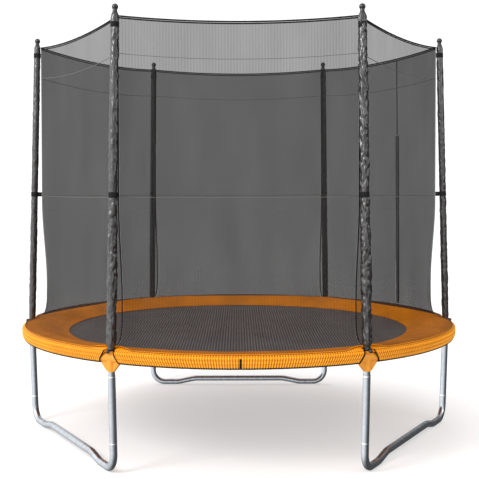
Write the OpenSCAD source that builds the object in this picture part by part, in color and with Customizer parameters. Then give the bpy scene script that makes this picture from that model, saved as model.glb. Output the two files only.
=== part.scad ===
// Round trampoline for children with six net poles, a spring bed, a padded rim and a zipped net.
// Millimetres. The floor is z = 0, the axis of the bed is the Z axis, and the front faces -Y.
// Corner 1 lies on +X, and corners and sides count anticlockwise from there.

/* [Ring] */
// Radius of the ring, to the centre line of its tube
ring_r = 1195; // [1100:5:1300]
// Outer diameter of the ring's tube
rail_d = 38; // [34:1:42]
// Height of the ring's centre line above the floor
rail_z = 552; // [520:2:620]
// Wall of all the steel tubes
tube_wall = 1.5; // [1:0.1:2]
// Clearance all round a tube in its socket
socket_gap = 0.3; // [0.2:0.05:0.5]

/* [Connectors] */
// Wall of the moulded connectors
connector_wall = 3; // [2.5:0.25:4]
// Reach of a connector's side arms from its pole, along the ring
arm_reach = 70; // [60:1:72]
// Reach of the arm that holds the pole, above the ring's centre line
pole_arm = 50; // [40:1:56]
// Reach of the arm that holds the leg, below the ring's centre line
leg_arm = 65; // [56:1:75]
// Half length of the solid core that the tubes stop against
core_half = 27; // [24:1:32]
// Thickness of the webs between a connector's arms
web_t = 18; // [10:1:24]

/* [Legs] */
// Outer diameter of the leg tubes
leg_d = 36; // [32:1:38]
// Inward lean of the legs from the ring to the floor
leg_lean = 2.2; // [0.5:0.1:4]
// Height of the joint between a leg's post and its base
leg_joint_z = 145; // [135:5:180]
// Height of the shoulder where a post narrows to enter its connector
post_shoulder_z = 470; // [440:2:480]
// Radius of the bend at the floor, to the tube's centre line
foot_bend_r = 80; // [60:5:90]
// Straight length that lies on the floor beside each bend
foot_flat = 80; // [40:5:140]
// Run of the ramp between the floor and the raised bar
ramp_run = 110; // [80:5:160]
// Rise of the middle bar above the feet
bar_rise = 22; // [10:1:40]
// Length of the narrowed end of a tube inside the next one
spigot = 60; // [40:5:80]

/* [Poles] */
// Outer diameter of the net poles
pole_d = 25; // [22:1:28]
// Inward lean of the poles from the ring to the top
pole_lean = 1.15; // [0.3:0.05:2]
// Height of the joint between the lower and the upper pole
pole_joint_z = 1360; // [1340:5:1500]
// Height of the poles' upper ends
pole_top_z = 2160; // [1900:10:2400]
// Outer diameter of the foam round a pole
foam_d = 32; // [31:0.5:36]
// Diameter of the ball on a pole cap
cap_ball_d = 31; // [26:1:40]
// Height of the ball's centre above the pole
cap_ball_h = 34; // [28:1:40]
// Wall of a sleeve's cloth at its tied ends
sleeve_t = 1.1; // [0.8:0.1:1.6]

/* [Bed] */
// Gap between the ring's centre line and the mat's edge, which the springs span
bed_gap = 195; // [180:5:240]
// Height of the mat's upper face
mat_top_z = 545; // [535:1:550]
// Thickness of the mat
mat_t = 3; // [1.5:0.5:4]
// Width of the mat's doubled border, outside its seam
border_w = 55; // [50:1:90]
// Width of the webbing sewn under the mat's edge
webbing_w = 45; // [30:1:60]
// Thickness of the webbing
webbing_t = 3; // [2:0.5:4]
// Wire of the rings at the mat's edge
ring_wire = 4; // [3:0.25:4.5]
// Length of a wire ring, from its base bar to its tip
ring_reach = 30; // [26:1:34]
// Half width of a wire ring's base bar
ring_half_w = 18; // [14:1:20]
// Half width of a wire ring's tip
ring_tip_half = 5; // [5:0.5:6]
// Number of springs between two poles
springs_per_side = 8; // [6:1:9]
// Wire of the springs
spring_wire = 3.2; // [2.6:0.1:3.6]
// Outer diameter of a spring's coils
coil_d = 18; // [15:0.5:20]
// Radius of the hooks on a spring's ends, to the centre of the wire
hook_r = 8; // [7.5:0.25:8.5]

/* [Pad] */
// Overlap of the pad over the mat's edge
pad_overlap = 37; // [25:1:60]
// Thickness of the pad's foam at its crown
pad_t = 20; // [14:1:26]
// Thickness of the pad's inner edge
pad_edge_t = 5; // [3:0.5:8]
// Thickness of the skirt's cloth
skirt_t = 1.5; // [1:0.25:2.5]
// Drop of the skirt below the ring's centre line
skirt_drop = 25; // [20:1:32]
// Half width of the skirt's arch at a pole, at its top
arch_top = 30; // [26:1:36]
// Half width of the skirt's arch at a pole, at the hem
arch_foot = 54; // [44:1:60]

/* [Net] */
// Thickness of the net's solid
net_t = 2; // [1.6:0.1:2.6]
// Drop from the poles' upper ends to the net's upper edge
net_drop = 10; // [6:1:20]
// Sag of the upper edge between two poles
net_sag = 28; // [10:1:60]
// Height of the strap at the middle of each pole
strap_z = 1310; // [1200:10:1330]
// Drop from the poles' upper ends to the strap near the top of each pole
top_strap_drop = 50; // [40:5:120]
// Gap between a pole's axis and the net's corner at the middle strap
strap_gap = 44; // [40:1:55]
// Gap between a pole's axis and the net's corner at its waist
waist_gap = 82; // [60:1:100]
// Height of the net's waist at a corner
waist_z = 760; // [740:5:820]
// Height of the net's waist between two poles
side_waist_z = 660; // [655:5:740]
// Outward bulge of the net's waist between two poles
waist_bulge = 37; // [0:1:60]
// Diameter of the rope in the net's upper hem
rope_d = 8; // [6:0.5:10]
// Diameter of the elastic cord in the net's lower hem
hem_d = 5; // [4:0.5:6]

/* [Door] */
// Place of the zip between two poles, from -1 at corner 1 to 1 at corner 2
zip_s = -0.39; // [-0.6:0.01:0.6]
// Height of the zip's lower end above the net's waist
zip_start = -14; // [-14:1:60]
// Height of the zip's upper end
zip_top_z = 1665; // [1300:5:1700]
// Width of the zip's two tapes together
zip_w = 30; // [26:1:40]
// Width of the slit in the net behind the zip
slit_w = 16; // [15:0.5:20]

/* [Hidden] */
$fn = 64;
corners = 6;
sector = 360 / corners;
half_sector = sector / 2;
bases = corners / 2;

// Colours
steel = [0.74, 0.75, 0.77];
orange = [0.93, 0.55, 0.08];
pad_orange = [0.86, 0.49, 0.04];
black = [0.08, 0.08, 0.09];
net_black = [0.2, 0.19, 0.19];
zip_grey = [0.42, 0.43, 0.48];

// Clearance of cloth from what it lies on, and slack of pieces that hook into each other
soft_gap = 0.4;
hook_gap = 0.4;

// Tube ends that plug into the next tube
leg_spigot_d = leg_d - 2 * tube_wall - 2 * socket_gap;
pole_spigot_d = pole_d - 2 * tube_wall - 2 * socket_gap;

// Outer diameters of the connector's arms
ring_arm_d = rail_d + 2 * (socket_gap + connector_wall);
leg_arm_d = leg_spigot_d + 2 * (socket_gap + connector_wall);
pole_arm_d = pole_d + 2 * (socket_gap + connector_wall);
core_angle = asin(core_half / ring_r);
arm_angle = asin(arm_reach / ring_r);

// ---- Legs: a post's axis runs from the ring to the floor and leans inwards ----
function leg_r(z) = ring_r - (rail_z - z) * tan(leg_lean);
base_tilt = atan(tan(leg_lean) * cos(half_sector));
foot_v = leg_d / 2 / cos(base_tilt);
joint_v = leg_joint_z / cos(base_tilt);
function base_u(v) = leg_r(v * cos(base_tilt)) * sin(half_sector);
foot_cut = foot_bend_r * tan((90 - atan(tan(leg_lean) * sin(half_sector))) / 2);
ramp_bend_r = 2 * foot_bend_r;
ramp_turn = atan(bar_rise / ramp_run);
ramp_cut = ramp_bend_r * tan(ramp_turn / 2);

// ---- Poles: a pole's axis runs from the ring upwards and leans inwards ----
function pole_r(z) = ring_r - (z - rail_z) * tan(pole_lean);
sleeve_in_r = max(foam_d, pole_arm_d) / 2 + socket_gap;
sleeve_tie_r = sleeve_in_r + sleeve_t;
sleeve_foot_z = rail_z + ring_arm_d / 2 + 8;
sleeve_top_z = pole_top_z - 8;
foam_foot_z = rail_z + pole_arm + 2;
foam_top_z = pole_top_z - 20;
// How full the cloth hangs on each pole: the two front sleeves are the loosest
fullness = [1, 1, 1, 1, 2.6, 3];
// Bulge of the cloth beyond its tied radius, along the sleeve: height share and bulge
sleeve_waves = [
    [0.00, 0.0], [0.01, 0.0], [0.02, 1.6], [0.11, 1.6], [0.12, 2.1], [0.26, 2.1],
    [0.27, 1.4], [0.39, 1.4], [0.40, 0.9], [0.44, 0.9]
];
sleeve_waves_above = [
    [0.49, 0.9], [0.54, 0.9], [0.55, 1.5], [0.74, 1.5], [0.75, 0.9], [0.90, 0.9],
    [0.91, 0.6], [0.985, 0.6], [0.99, 0.3], [1.00, 0.0]
];
strap_share = (strap_z - sleeve_foot_z) / (sleeve_top_z - sleeve_foot_z);
strap_h = 26;
strap_bulge = 0.6;

// ---- Mat's edge and springs, in the upright plane through the bed's axis ----
mat_r = ring_r - bed_gap;
seam_r = mat_r - border_w;
webbing_z = mat_top_z - mat_t - soft_gap - webbing_t;
wire_z = webbing_z + webbing_t / 2;
bar_r = mat_r + (ring_wire / 2 + webbing_t / 2 + 1.5);
tip_r = bar_r + ring_reach;
loop_d = ring_wire + 2 * (hook_gap + webbing_t / 2);
hook_in = [tip_r + hook_r - (ring_wire + spring_wire) / 2 - hook_gap, wire_z];
hole_angle = 45;
hole_d = spring_wire + 2 * 2 * hook_gap;
hole_at = [ring_r - rail_d / 2 * sin(hole_angle), rail_z + rail_d / 2 * cos(hole_angle)];
hook_out = hole_at - hook_r * [cos(hole_angle), sin(hole_angle)];
spring_l = norm(hook_out - hook_in);
spring_rise = atan2(hook_out.y - hook_in.y, hook_out.x - hook_in.x);
spring_angle = sector / springs_per_side;
spring_start = hook_in + hook_r * [-sin(spring_rise), cos(spring_rise)];
neck = 6;
coil_start = hook_r + neck;
coil_end = spring_l - hook_r - neck;
// Height of the top of the coils above a radius
function coil_top(r) = spring_start.y + (r - spring_start.x) * tan(spring_rise)
    + coil_d / 2 / cos(spring_rise);

// ---- Pad: its section, from the hem over the crown to the inner edge and back underneath ----
pad_r = ring_r + ring_arm_d / 2 + 3 * soft_gap + skirt_t;
pad_in_r = mat_r - pad_overlap;
hem_z = rail_z - skirt_drop;
coil_in_r = spring_start.x + coil_start * cos(spring_rise);
coil_out_r = spring_start.x + coil_end * cos(spring_rise);
under_in_z = mat_top_z + soft_gap;
under_out_z = max(coil_top(coil_out_r + 4), rail_z + ring_arm_d / 2) + 2 * soft_gap;
crown_r = (coil_in_r + 3 * coil_out_r) / 4;
pad_top = [
    [pad_in_r, under_in_z + pad_edge_t],
    [mat_r, under_in_z + pad_edge_t + 5],
    [coil_in_r, coil_top(coil_in_r) + 0.8 * pad_t],
    [(coil_in_r + crown_r) / 2, under_out_z + 0.62 * pad_t],
    [crown_r, under_out_z + pad_t],
    [(crown_r + ring_r) / 2, under_out_z + 0.98 * pad_t],
    [ring_r - 6, under_out_z + 0.8 * pad_t],
    [ring_r + 12, under_out_z + 0.48 * pad_t],
    [pad_r, under_out_z + 1]
];
pad_under = [
    [pad_in_r, under_in_z],
    [mat_r + 10, under_in_z + 0.4],
    [coil_in_r - 6, coil_top(coil_in_r) + 2 * soft_gap],
    [coil_out_r + 4, under_out_z],
    [pad_r - skirt_t, under_out_z]
];
function pad_top_z(r) = lookup(r, pad_top);
notch_r = sleeve_tie_r + hem_d + 2;

// ---- Net: a panel's surface, in a frame whose X axis looks out through the panel's middle ----
net_top_z = pole_top_z - net_drop;
top_strap_z = pole_top_z - top_strap_drop;
net_top_gap = sleeve_tie_r + soft_gap + rope_d / 2 + 0.5;
function smooth(t) = let (c = min(max(t, 0), 1)) c * c * (3 - 2 * c);
function mix(a, b, t) = a + (b - a) * t;
// Gap between the pole's axis and the net's corner
function corner_gap(z) = z > strap_z
    ? mix(strap_gap, net_top_gap, (z - strap_z) / (net_top_z - strap_z))
    : mix(strap_gap, waist_gap, smooth((strap_z - z) / (strap_z - waist_z)));
function corner_r(z) = pole_r(z) - corner_gap(z);
binding_w = 8;
binding_t = 3;
edge_gap = binding_w / 2 + soft_gap;
// Distance of the middle of a panel from the bed's axis: a straight line from waist to top
mid_top = corner_r(net_top_z) * cos(half_sector);
mid_waist = corner_r(waist_z) * cos(half_sector) + waist_bulge;
function mid_d(z) = mix(mid_waist, mid_top, (z - side_waist_z) / (net_top_z - side_waist_z));
function hung(s, z) = let (
        r = corner_r(z),
        d = mix(mid_d(z), r * cos(half_sector), pow(abs(s), 4))
    ) [d, s * (r * sin(half_sector) - edge_gap), z];
function waist_at(s) = mix(side_waist_z, waist_z, s * s);
function top_at(s) = net_top_z - net_sag * (1 - s * s);
// The lower hem lies on the pad's shoulder, and runs in to each pole's inner side
foot_in_r = ring_r - notch_r - hem_d;
foot_out_r = ring_r + 8;
foot_half = foot_in_r * sin(half_sector) - edge_gap;
function foot_r(s) = mix(foot_in_r, foot_out_r, smooth(((1 - abs(s)) * foot_half - 18) / 75));
function foot_z(s) = pad_top_z(foot_r(s)) + 4.5 * soft_gap + hem_d + net_t / 2;
function foot_at(s) = let (r = foot_r(s), u = s * foot_half) [sqrt(r * r - u * u), u, foot_z(s)];
// Below its waist the net swings out to the hem in a superellipse
swing = 2 / 3;
function flared(s, a) = let (
        w = hung(s, waist_at(s)),
        f = foot_at(s),
        p = mix(f, w, pow(sin(a), swing)),
        z = mix(w.z, f.z, pow(cos(a), swing)),
        lying_z = pad_top_z(norm([p.x, p.y])) + 3 * soft_gap + net_t
    ) [p.x, p.y, max(z, lying_z)];
flare_angles = [0, 3, 8, 16, 30, 50, 68, 82];
rise_shares = [0, 0.1, 0.2, 0.3, 0.4, 0.6, 0.8, 1];
rope_steps = [-1, -0.55, -0.2, 0.2, 0.55];
columns = [-1, -0.95, -0.88, -0.76, -0.55, -0.2, 0.2, 0.55, 0.76, 0.88, 0.95, 1];
rows = len(flare_angles) + len(rise_shares);
function net_row(s, k) = k < len(flare_angles)
    ? flared(s, flare_angles[k])
    : hung(s, mix(waist_at(s), top_at(s), rise_shares[k - len(flare_angles)]));
function net_side(s, k) = let (
        t = net_row(s, min(k + 1, rows - 1)) - net_row(s, max(k - 1, 0)),
        n = [t.z, 0, -t.x]
    ) n / norm(n);

// ---- Zip: a straight line on the door panel ----
zip_a = hung(zip_s, waist_at(zip_s) + zip_start);
zip_b = hung(zip_s, zip_top_z);
zip_l = norm(zip_b - zip_a);
zip_way = (zip_b - zip_a) / zip_l;
zip_turn = [-asin(zip_way.y), atan2(zip_way.x, zip_way.z), 0];
tape_t = 1;
tape_x = net_t / 2 + 1;
teeth_w = 2.4;
teeth_t = 3;
teeth_split = 1.2;
slider_w = 13;
slider_h = 20;
slider_skin = 1.5;
slider_gap = 0.2;
stop_h = 5;

// ---- Frames ----
module at_corner(k) rotate([0, 0, (k - 1) * sector]) children();
module at_side(k) rotate([0, 0, (k - 0.5) * sector]) children();
// A pole's frame and a leg's frame start at the connector's centre
module along_pole(k) at_corner(k) translate([ring_r, 0, rail_z]) rotate([0, -pole_lean, 0]) children();
module along_leg(k) at_corner(k) translate([ring_r, 0, rail_z]) rotate([0, leg_lean, 0]) children();
function up_pole(z) = (z - rail_z) / cos(pole_lean);
function down_leg(z) = (rail_z - z) / cos(leg_lean);
module in_zip() at_side(1) translate(zip_a) rotate(zip_turn) children();

// ---- Shapes that repeat ----
module section(d, wall) {
    difference() {
        circle(d = d);
        if (wall > 0) circle(d = d - 2 * wall);
    }
}

module tube(d, wall, z0, z1) {
    translate([0, 0, z0]) linear_extrude(z1 - z0) section(d, wall);
}

function heading(a, b) = atan2(b.y - a.y, b.x - a.x);
function turn_at(p, i) = let (t = heading(p[i], p[i + 1]) - heading(p[i - 1], p[i]))
    t > 180 ? t - 360 : t < -180 ? t + 360 : t;
function cut_at(p, i, r) = i == 0 || i == len(p) - 1 ? 0 : r[i] * tan(abs(turn_at(p, i)) / 2);

// A bent rod in the XY plane, along the points p, with the bend radii r. The bends are a touch
// thicker than the straights, which reach a little way into them and run past the rod's ends.
module bent_rod(p, r, d, past) {
    grip = d > 10 ? 1.5 : 0.3;
    last = len(p) - 1;
    for (i = [0:last - 1]) {
        start = cut_at(p, i, r) - (i == 0 ? past : grip);
        end = norm(p[i + 1] - p[i]) - cut_at(p, i + 1, r) + (i == last - 1 ? past : grip);
        translate([p[i].x, p[i].y, 0]) rotate([0, 0, heading(p[i], p[i + 1])])
            translate([start, 0, 0]) rotate([0, 90, 0]) cylinder(d = d, h = end - start);
    }
    for (i = [1:last - 1]) {
        turn = turn_at(p, i);
        translate([p[i].x, p[i].y, 0]) rotate([0, 0, heading(p[i - 1], p[i])])
            translate([-cut_at(p, i, r), sign(turn) * r[i], 0])
                rotate([0, 0, turn > 0 ? -90 : 90 + turn])
                    rotate_extrude(angle = abs(turn)) translate([r[i], 0]) circle(d = d + 0.2);
    }
}

module bent_tube(p, r, d, wall) {
    difference() {
        bent_rod(p, r, d, 0);
        bent_rod(p, r, d - 2 * wall, 1);
    }
}

// ---- Steel frame ----
module rail(k) {
    color(steel) difference() {
        at_corner(k) translate([0, 0, rail_z]) rotate([0, 0, core_angle])
            rotate_extrude(angle = sector - 2 * core_angle) translate([ring_r, 0])
                section(rail_d, tube_wall);
        at_corner(k) for (i = [0:springs_per_side - 1]) rotate([0, 0, (i + 0.5) * spring_angle])
            translate([ring_r, 0, rail_z]) rotate([0, -hole_angle, 0])
                translate([0, 0, rail_d / 2 - 3 * tube_wall]) cylinder(d = hole_d, h = 5 * tube_wall);
    }
}

module connector(k) {
    color(orange) difference() {
        union() {
            at_corner(k) translate([0, 0, rail_z]) rotate([0, 0, -arm_angle])
                rotate_extrude(angle = 2 * arm_angle) translate([ring_r, 0]) circle(d = ring_arm_d);
            along_pole(k) cylinder(d = pole_arm_d, h = pole_arm);
            along_leg(k) translate([0, 0, -leg_arm]) cylinder(d = leg_arm_d, h = leg_arm);
            at_corner(k) translate([ring_r - web_t / 2, 0, rail_z]) connector_web();
        }
        for (side = [0, 1]) at_corner(k) translate([0, 0, rail_z])
            rotate([0, 0, side == 0 ? core_angle : -arm_angle - 1])
                rotate_extrude(angle = arm_angle + 1 - core_angle) translate([ring_r, 0])
                    circle(d = rail_d + 2 * socket_gap);
        along_pole(k) translate([0, 0, core_half])
            cylinder(d = pole_d + 2 * socket_gap, h = pole_arm);
        along_leg(k) translate([0, 0, -core_half - leg_arm])
            cylinder(d = leg_spigot_d + 2 * socket_gap, h = leg_arm);
    }
}

// The web that joins a connector's side arms to its leg arm and its pole arm
module connector_web() {
    low = leg_arm - 3;
    wide = arm_reach - 12;
    high = sleeve_foot_z - rail_z - 2;
    rotate([90, 0, 90]) linear_extrude(web_t) difference() {
        polygon([
            [-wide, 0], [-wide, -rail_d / 2], [-leg_arm_d / 2 - 1, -low],
            [leg_arm_d / 2 + 1, -low], [wide, -rail_d / 2], [wide, 0],
            [pole_arm_d / 2 + 18, rail_d / 2], [pole_arm_d / 2 - 1, high],
            [-pole_arm_d / 2 + 1, high], [-pole_arm_d / 2 - 18, rail_d / 2]
        ]);
        square([leg_spigot_d - 4, 2 * leg_arm], center = true);
        square([2 * arm_reach, rail_d - 6], center = true);
    }
}

module leg_post(k) {
    shoulder = -down_leg(post_shoulder_z);
    top = -core_half - socket_gap;
    color(steel) along_leg(k) {
        tube(leg_d, tube_wall, -down_leg(leg_joint_z) + socket_gap, shoulder);
        tube(leg_spigot_d, tube_wall, shoulder - spigot / 2, top);
        tube(leg_d - tube_wall, tube_wall + socket_gap, shoulder - tube_wall, shoulder);
    }
}

// One bent tube makes two feet and the raised bar between them
module leg_base(b) {
    flat = foot_cut + foot_flat + ramp_cut;
    half = [
        [base_u(joint_v), joint_v],
        [base_u(foot_v), foot_v],
        [base_u(foot_v) - flat, foot_v],
        [base_u(foot_v) - flat - ramp_run, foot_v + bar_rise]
    ];
    points = concat(half, [for (i = [3:-1:0]) [-half[i].x, half[i].y]]);
    bends = [0, foot_bend_r, ramp_bend_r, ramp_bend_r, ramp_bend_r, ramp_bend_r, foot_bend_r, 0];
    color(steel) union() {
        rotate([0, 0, (2 * b - 2.5) * sector]) translate([leg_r(0) * cos(half_sector), 0, 0])
            rotate([0, base_tilt, 0]) rotate([90, 0, 90]) bent_tube(points, bends, leg_d, tube_wall);
        for (k = [2 * b - 2, 2 * b - 1]) along_leg(k) translate([0, 0, -down_leg(leg_joint_z)]) {
            tube(leg_spigot_d, tube_wall, -spigot / 2, spigot);
            tube(leg_d - tube_wall, tube_wall + socket_gap, -tube_wall, 0);
        }
    }
}

// ---- Net poles ----
module pole_lower(k) {
    joint = up_pole(pole_joint_z);
    color(steel) along_pole(k) {
        tube(pole_d, tube_wall, core_half + socket_gap, joint);
        tube(pole_spigot_d, tube_wall, joint - spigot / 2, joint + spigot);
        tube(pole_d - tube_wall, tube_wall + socket_gap, joint - tube_wall, joint);
    }
}

module pole_upper(k) {
    color(steel) along_pole(k)
        tube(pole_d, tube_wall, up_pole(pole_joint_z) + socket_gap, up_pole(pole_top_z));
}

module pole_caps() {
    neck_r = 0.36 * cap_ball_d;
    color(black) for (k = [1:corners]) along_pole(k) translate([0, 0, up_pole(pole_top_z)]) {
        translate([0, 0, -25]) cylinder(d = pole_spigot_d, h = 26);
        cylinder(r = foam_d / 2 - 1, h = 3);
        translate([0, 0, 3]) cylinder(r1 = foam_d / 2 - 1, r2 = neck_r, h = 10);
        translate([0, 0, 13]) cylinder(r = neck_r, h = cap_ball_h - 13);
        translate([0, 0, cap_ball_h]) sphere(d = cap_ball_d);
    }
}

module pole_foams() {
    color(black) for (k = [1:corners]) along_pole(k)
        tube(foam_d, (foam_d - pole_d) / 2 - socket_gap, up_pole(foam_foot_z), up_pole(foam_top_z));
}

function waves_of(k) = concat(
    sleeve_waves,
    [for (e = [-1, 1]) [strap_share + e * strap_h / 1570, strap_bulge]],
    sleeve_waves_above
);
function sleeve_z(share) = mix(sleeve_foot_z, sleeve_top_z, share);
function sleeve_r(k, share) = sleeve_tie_r + fullness[k - 1] * lookup(share, waves_of(k));

// A cloth tube round the foam, tied at its ends and drawn in by the strap at its middle
module pole_sleeve(k) {
    outer = [for (w = waves_of(k)) [sleeve_r(k, w[0]), up_pole(sleeve_z(w[0]))]];
    inner = [[sleeve_in_r, up_pole(sleeve_top_z)], [sleeve_in_r, up_pole(sleeve_foot_z)]];
    color(black) along_pole(k) rotate_extrude() polygon(concat(outer, inner));
}

// An elastic loop with a plastic ball gathers each sleeve's foot
module sleeve_ties() {
    ball_r = 9;
    color(black) for (k = [1:corners]) along_pole(k) {
        translate([0, 0, up_pole(sleeve_foot_z) + 5]) {
            rotate_extrude() translate([sleeve_tie_r + soft_gap + hem_d / 2, 0]) circle(d = hem_d);
            translate([sleeve_tie_r + soft_gap + ball_r, 0, 0]) sphere(r = ball_r);
        }
    }
}

// ---- Bed ----
// The mat's disc, with the groove that its border's seam presses into the upper face
module jump_mat() {
    groove = 0.8;
    color(black) difference() {
        translate([0, 0, mat_top_z - mat_t]) cylinder(r = mat_r, h = mat_t, $fn = 192);
        rotate_extrude($fn = 192) translate([seam_r, mat_top_z - groove]) square([2, 2 * groove]);
    }
}

module each_spring() {
    for (k = [1:corners], i = [0:springs_per_side - 1])
        at_corner(k) rotate([0, 0, (i + 0.5) * spring_angle]) children();
}

// The webbing's band under the mat, with a loop round the base bar of each wire ring
module mat_webbing() {
    loop_w = 1.3 * ring_half_w;
    color(black) difference() {
        union() {
            difference() {
                translate([0, 0, webbing_z]) cylinder(r = mat_r, h = webbing_t, $fn = 192);
                translate([0, 0, webbing_z - 1])
                    cylinder(r = mat_r - webbing_w, h = webbing_t + 2, $fn = 192);
            }
            each_spring() {
                translate([mat_r - 3, -loop_w / 2, webbing_z]) cube([bar_r - mat_r + 3, loop_w, webbing_t]);
                translate([bar_r, 0, wire_z]) rotate([90, 0, 0])
                    cylinder(d = loop_d, h = loop_w, center = true);
            }
        }
        each_spring() translate([bar_r, 0, wire_z]) rotate([90, 0, 0])
            cylinder(d = ring_wire + 2 * hook_gap, h = 2 * loop_w, center = true);
    }
}

// A bent loop of wire: its base bar lies in the webbing and its narrow tip holds a spring
module mat_rings() {
    half = [[0, 0.3], [0, ring_half_w], [ring_reach, ring_tip_half]];
    points = concat(half, [for (i = [2:-1:0]) [half[i].x, -half[i].y]]);
    color(steel) each_spring() translate([bar_r, 0, wire_z])
        bent_rod(points, [0, 5, 3, 3, 5, 0], ring_wire, 0);
}

// A close-wound spring: a hollow barrel of coils with a hook on each end
module springs() {
    color(steel) each_spring() translate([spring_start.x, 0, spring_start.y])
        rotate([0, -spring_rise, 0]) spring();
}

module spring() {
    barrel = coil_end - coil_start;
    translate([coil_start, 0, 0]) rotate([0, 90, 0]) difference() {
        union() {
            cylinder(d = coil_d, h = barrel);
            translate([0, 0, -neck]) cylinder(d1 = spring_wire, d2 = coil_d, h = neck);
            translate([0, 0, barrel]) cylinder(d1 = coil_d, d2 = spring_wire, h = neck);
        }
        translate([0, 0, 2]) cylinder(d = coil_d - 2 * spring_wire, h = barrel - 4);
    }
    grip = 0.4;
    for (start = [-grip, spring_l - hook_r - 1])
        translate([start, 0, 0]) rotate([0, 90, 0]) cylinder(d = spring_wire, h = hook_r + 1 + grip);
    hook(0, 90, 190);
    hook(spring_l, -40, 130);
}

// The arc of a hook whose circle's centre lies under the point x of the spring's axis
module hook(x, from, sweep) {
    translate([x, 0, -hook_r]) rotate([90, 0, 0]) rotate([0, 0, from])
        rotate_extrude(angle = sweep) translate([hook_r, 0]) circle(d = spring_wire + 0.2);
}

// ---- Pad ----
module safety_pad() {
    outer = [[pad_r, hem_z], [pad_r, pad_top[len(pad_top) - 1].y]];
    over = [for (i = [len(pad_top) - 2:-1:0]) pad_top[i]];
    inner = [[pad_r - skirt_t, hem_z]];
    color(pad_orange) difference() {
        rotate_extrude($fn = 192) polygon(concat(outer, over, pad_under, inner));
        for (k = [1:corners]) pole_notch(k);
    }
}

// The slot round a pole and the arch in the skirt below it, which shows the connector
module pole_notch(k) {
    over = pad_t + pole_arm;
    at_corner(k) {
        translate([ring_r, 0, hem_z]) cylinder(r = notch_r, h = over);
        translate([ring_r, -notch_r, hem_z]) cube([2 * notch_r, 2 * notch_r, over]);
        translate([ring_r + ring_arm_d / 4, 0, 0]) rotate([90, 0, 90]) linear_extrude(ring_arm_d)
            polygon([
                [-arch_foot, hem_z - 1], [arch_foot, hem_z - 1],
                [arch_top, under_out_z], [-arch_top, under_out_z]
            ]);
    }
}

// Elastic straps hold the pad to the ring
module pad_straps() {
    in_d = rail_d + 2 * soft_gap;
    out_d = in_d + 2.4;
    width = 20;
    color(black) for (k = [1:corners], a = [0.25, 0.75])
        at_corner(k) rotate([0, 0, a * sector]) translate([ring_r, 0, rail_z]) difference() {
            union() {
                rotate([90, 0, 0]) cylinder(d = out_d, h = width, center = true);
                translate([-6, -width / 2, rail_d / 2])
                    cube([12, width, under_out_z - soft_gap - rail_z - rail_d / 2]);
            }
            rotate([90, 0, 0]) cylinder(d = in_d, h = 2 * width, center = true);
        }
}

// ---- Net ----
// A sheet of thickness t on the points of a grid, with the grid's own outward directions
module sheet(points, sides, t) {
    cols = len(points);
    rows = len(points[0]);
    layer = cols * rows;
    all = [
        for (h = [t / 2, -t / 2], c = [0:cols - 1], r = [0:rows - 1])
            points[c][r] + h * sides[c][r]
    ];
    function at(l, c, r) = l * layer + c * rows + r;
    function quad(a, b, c, d) = [[a, b, c], [a, c, d]];
    faces = [
        for (c = [0:cols - 2], r = [0:rows - 2]) each concat(
            quad(at(0, c, r), at(0, c, r + 1), at(0, c + 1, r + 1), at(0, c + 1, r)),
            quad(at(1, c, r), at(1, c + 1, r), at(1, c + 1, r + 1), at(1, c, r + 1))
        ),
        for (c = [0:cols - 2]) each concat(
            quad(at(0, c, 0), at(0, c + 1, 0), at(1, c + 1, 0), at(1, c, 0)),
            quad(at(0, c, rows - 1), at(1, c, rows - 1), at(1, c + 1, rows - 1), at(0, c + 1, rows - 1))
        ),
        for (r = [0:rows - 2]) each concat(
            quad(at(0, 0, r), at(1, 0, r), at(1, 0, r + 1), at(0, 0, r + 1)),
            quad(at(0, cols - 1, r), at(0, cols - 1, r + 1), at(1, cols - 1, r + 1), at(1, cols - 1, r))
        )
    ];
    polyhedron(points = all, faces = faces);
}

module net_panel(k) {
    points = [for (s = columns) [for (r = [0:rows - 1]) net_row(s, r)]];
    sides = [for (s = columns) [for (r = [0:rows - 1]) net_side(s, r)]];
    color(net_black) difference() {
        at_side(k) sheet(points, sides, net_t);
        if (k == 1) in_zip() translate([-10, -slit_w / 2, 0]) cube([20, slit_w, zip_l]);
    }
}

// A tape joins two panels at each corner, from the hem to the rope
module net_bindings() {
    function r_of(p) = (norm([p.x, p.y]) + edge_gap * sin(half_sector)) ;
    curve = [for (r = [0:rows - 1]) let (p = net_row(1, r)) [r_of(p), 0, p.z]];
    sides = [for (r = [0:rows - 1]) let (
        t = curve[min(r + 1, rows - 1)] - curve[max(r - 1, 0)]
    ) [t.z, 0, -t.x] / norm(t)];
    across = [-binding_w / 2, binding_w / 2];
    color(black) for (k = [1:corners]) at_corner(k)
        sheet([for (y = across) [for (p = curve) p + [0, y, 0]]], [for (y = across) sides], binding_t);
}

// The rope in the upper hem sags from pole to pole in straight stretches
module net_top_rope() {
    d = corner_r(net_top_z) * cos(half_sector);
    u = corner_r(net_top_z) * sin(half_sector);
    points = [for (k = [1:corners], s = rope_steps) let (
        p = [d, s * u, top_at(s) + rope_d / 2 + 2 * soft_gap],
        turn = (k - 0.5) * sector
    ) [p.x * cos(turn) - p.y * sin(turn), p.x * sin(turn) + p.y * cos(turn), p.z]];
    color(black) sweep(points, rope_d / 2, 10, true);
}

// The elastic cord in the lower hem: six stretches, each between two poles
module net_hem_cord() {
    steps = concat([-0.995, -0.96], [for (i = [-13:13]) 0.93 * sin(i * 90 / 13)], [0.96, 0.995]);
    line = [for (s = steps) let (p = foot_at(s))
        [p.x, p.y, pad_top_z(foot_r(s)) + 2 * soft_gap + hem_d / 2]];
    color(black) for (k = [1:corners]) at_side(k) sweep(line, hem_d / 2, 8);
}

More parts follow.
